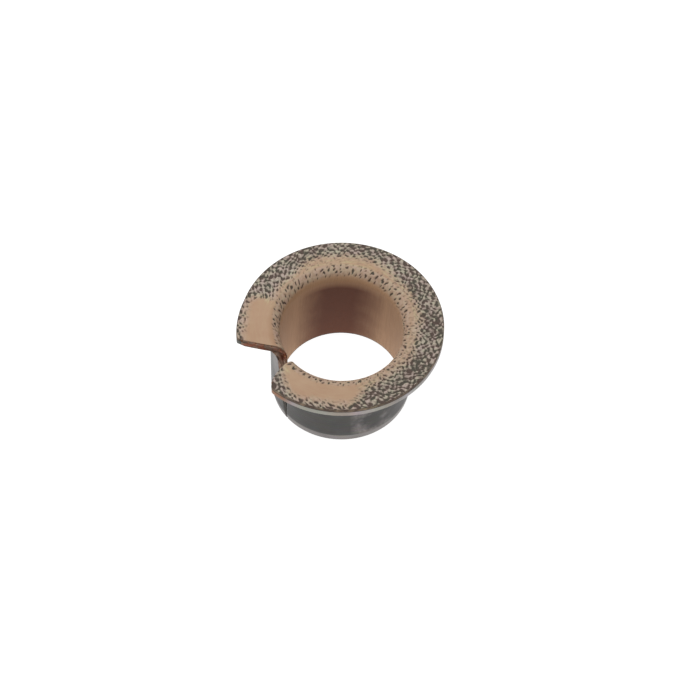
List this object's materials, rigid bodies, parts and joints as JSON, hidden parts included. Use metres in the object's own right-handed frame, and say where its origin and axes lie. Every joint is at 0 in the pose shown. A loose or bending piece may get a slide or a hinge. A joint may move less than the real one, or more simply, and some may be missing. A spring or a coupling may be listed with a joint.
{
  "type": "flanged split plain bearing bushing",
  "caption": "Rolled, split flanged bush: steel backing, bonded filled-PTFE running face on bronze wire mesh, V notch in the flange.",
  "frame": {"origin": "on the bore axis at the foot face of the sleeve, the end without a flange", "axes": "+Z along the bore axis from the foot towards the flange, -Y towards the usual viewer, split and notch at 215 degrees from +X, counted anticlockwise from above"},
  "size_m": [0.0203, 0.02, 0.01],
  "materials": {
    "steel_backing": "dull rolled steel, lightly scuffed",
    "adhesive_film": "dark brown hot-melt film",
    "bronze_wire": "bright reddish bronze where it is cut",
    "filled_ptfe": "tan, waxy, printed with the weave of the mesh"
  },
  "bodies": {
    "root": {"axial_wires": "bronze_wire", "bond_film": "adhesive_film", "hoop_wire_01": "bronze_wire", "hoop_wire_02": "bronze_wire", "hoop_wire_03": "bronze_wire", "hoop_wire_04": "bronze_wire", "hoop_wire_05": "bronze_wire", "hoop_wire_06": "bronze_wire", "hoop_wire_07": "bronze_wire", "hoop_wire_08": "bronze_wire", "hoop_wire_09": "bronze_wire", "hoop_wire_10": "bronze_wire", "hoop_wire_11": "bronze_wire", "hoop_wire_12": "bronze_wire", "hoop_wire_13": "bronze_wire", "hoop_wire_14": "bronze_wire", "hoop_wire_15": "bronze_wire", "hoop_wire_16": "bronze_wire", "hoop_wire_17": "bronze_wire", "hoop_wire_18": "bronze_wire", "hoop_wire_19": "bronze_wire", "hoop_wire_20": "bronze_wire", "hoop_wire_21": "bronze_wire", "ptfe_liner": "filled_ptfe", "steel_shell": "steel_backing"}
  },
  "joints": []
}
